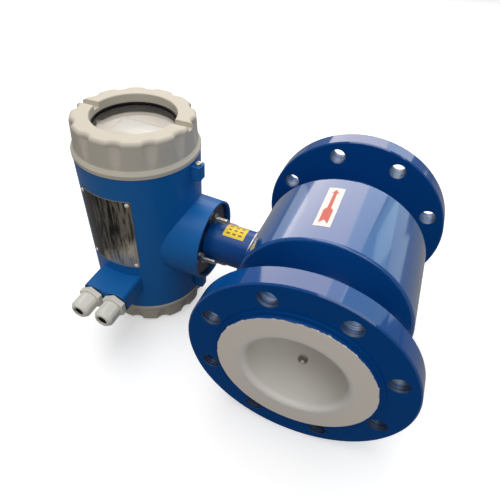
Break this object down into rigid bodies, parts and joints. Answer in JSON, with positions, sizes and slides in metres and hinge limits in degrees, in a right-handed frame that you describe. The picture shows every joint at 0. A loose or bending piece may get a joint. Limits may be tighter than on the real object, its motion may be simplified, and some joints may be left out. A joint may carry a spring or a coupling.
{
  "type": "electromagnetic flow meter",
  "caption": "Flanged, lined electromagnetic flow meter: round coil housing between two drilled flanges and a round two-cover converter on a side neck, with window and cable glands.",
  "frame": {"origin": "centre of the inlet flange's bolt circle, on the face of the flange's rim", "axes": "+Y along the flow from inlet to outlet, -X from the tube along the neck to the converter, +Z the way the converter's window faces"},
  "size_m": [0.4047, 0.268, 0.2559],
  "materials": {
    "blue_paint": "gloss deep blue enamel over welded steel",
    "cast_blue": "satin-gloss deep blue enamel over an aluminium casting",
    "cover_paint": "warm light grey enamel over an aluminium casting",
    "liner": "white fluoropolymer, smooth",
    "stainless": "bare stainless steel",
    "zinc_steel": "bright zinc-plated steel",
    "iron": "bare soft iron",
    "copper": "enamelled copper wire",
    "rubber": "black rubber",
    "nylon": "light grey nylon",
    "glass": "clear toughened glass",
    "plate": "reflective dark steel plate",
    "black_plastic": "black plastic",
    "panel": "pale grey face",
    "screen": "pale unlit screen",
    "board": "green laminate",
    "terminal_green": "green moulded plastic",
    "insulator": "ivory insulating plastic"
  },
  "bodies": {
    "meter": {"inlet_flange": "blue_paint", "outlet_flange": "blue_paint", "measuring_tube": "blue_paint", "tube_liner": "liner", "measuring_electrodes": "stainless", "grounding_electrode": "stainless", "electrode_insulators": "insulator", "electrode_nuts": "stainless", "inlet_end_plate": "blue_paint", "outlet_end_plate": "blue_paint", "housing_shell": "blue_paint", "neck_side_coil": "copper", "far_side_coil": "copper", "neck_side_pole": "iron", "far_side_pole": "iron", "flux_return_ring": "iron", "neck_tube": "blue_paint", "neck_plate": "blue_paint", "neck_gasket": "rubber", "neck_collar": "stainless", "neck_studs": "zinc_steel", "neck_washers": "zinc_steel", "neck_nuts": "zinc_steel", "converter_body": "cast_blue", "nameplate": "plate", "nameplate_rivets": "zinc_steel", "gland_washers": "rubber", "gland_bodies": "nylon", "display_panel": "panel", "lcd_module": "screen", "display_housing": "black_plastic", "display_board": "board", "display_posts": "black_plastic", "tray_brackets": "black_plastic", "main_board": "board", "power_board": "board", "board_spacers": "black_plastic", "stack_screws": "zinc_steel", "main_board_parts": "black_plastic", "power_module": "black_plastic", "terminal_board": "board", "terminal_legs": "black_plastic", "terminal_blocks": "terminal_green", "terminal_screws": "zinc_steel", "lead_grommet": "rubber"},
    "front_seal": {"front_cover_seal": "rubber"},
    "front_cover": {"front_cover": "cover_paint", "window_gasket": "rubber", "window_glass": "glass", "window_ring": "black_plastic"},
    "rear_seal": {"rear_cover_seal": "rubber"},
    "rear_cover": {"rear_cover": "cover_paint"},
    "gland_seal_left": {"gland_seal_left": "rubber"},
    "gland_nut_left": {"gland_nut_left": "nylon"},
    "gland_seal_right": {"gland_seal_right": "rubber"},
    "gland_nut_right": {"gland_nut_right": "nylon"},
    "front_lock_screw": {"front_lock_screw": "zinc_steel"},
    "rear_lock_screw": {"rear_lock_screw": "zinc_steel"}
  },
  "joints": [
    {"name": "front_cover_lift", "type": "slide", "parent": "meter", "child": "front_seal", "axis": [0, 0, 1], "range_m": [0, 0.01001]},
    {"name": "front_cover_turn", "type": "hinge", "parent": "front_seal", "child": "front_cover", "pos_m": [-0.23, 0.129, 0.119], "axis": [0, 0, 1], "range_deg": [0, 1800]},
    {"name": "rear_cover_lift", "type": "slide", "parent": "meter", "child": "rear_seal", "axis": [0, 0, -1], "range_m": [0, 0.01001]},
    {"name": "rear_cover_turn", "type": "hinge", "parent": "rear_seal", "child": "rear_cover", "pos_m": [-0.23, 0.129, -0.102], "axis": [0, 0, -1], "range_deg": [0, 1800]},
    {"name": "gland_left_travel", "type": "slide", "parent": "meter", "child": "gland_seal_left", "axis": [0, -1, 0], "range_m": [0, 0.00601]},
    {"name": "gland_left_turn", "type": "hinge", "parent": "gland_seal_left", "child": "gland_nut_left", "pos_m": [-0.245, 0.02, -0.0445], "axis": [0, -1, 0], "range_deg": [0, 1440]},
    {"name": "gland_right_travel", "type": "slide", "parent": "meter", "child": "gland_seal_right", "axis": [0, -1, 0], "range_m": [0, 0.00601]},
    {"name": "gland_right_turn", "type": "hinge", "parent": "gland_seal_right", "child": "gland_nut_right", "pos_m": [-0.215, 0.02, -0.0445], "axis": [0, -1, 0], "range_deg": [0, 1440]},
    {"name": "front_lock_turn", "type": "hinge", "parent": "meter", "child": "front_lock_screw", "pos_m": [-0.1586, 0.129, 0.0971], "axis": [0, 0, 1], "range_deg": [0, 720]},
    {"name": "rear_lock_turn", "type": "hinge", "parent": "meter", "child": "rear_lock_screw", "pos_m": [-0.1586, 0.129, -0.083], "axis": [0, 0, -1], "range_deg": [0, 720]}
  ],
  "couplings": [
    {"joint": "front_cover_lift", "follows": "front_cover_turn", "m_per_rad": 0.00031831},
    {"joint": "rear_cover_lift", "follows": "rear_cover_turn", "m_per_rad": 0.00031831},
    {"joint": "gland_left_travel", "follows": "gland_left_turn", "m_per_rad": 0.00023873},
    {"joint": "gland_right_travel", "follows": "gland_right_turn", "m_per_rad": 0.00023873}
  ]
}
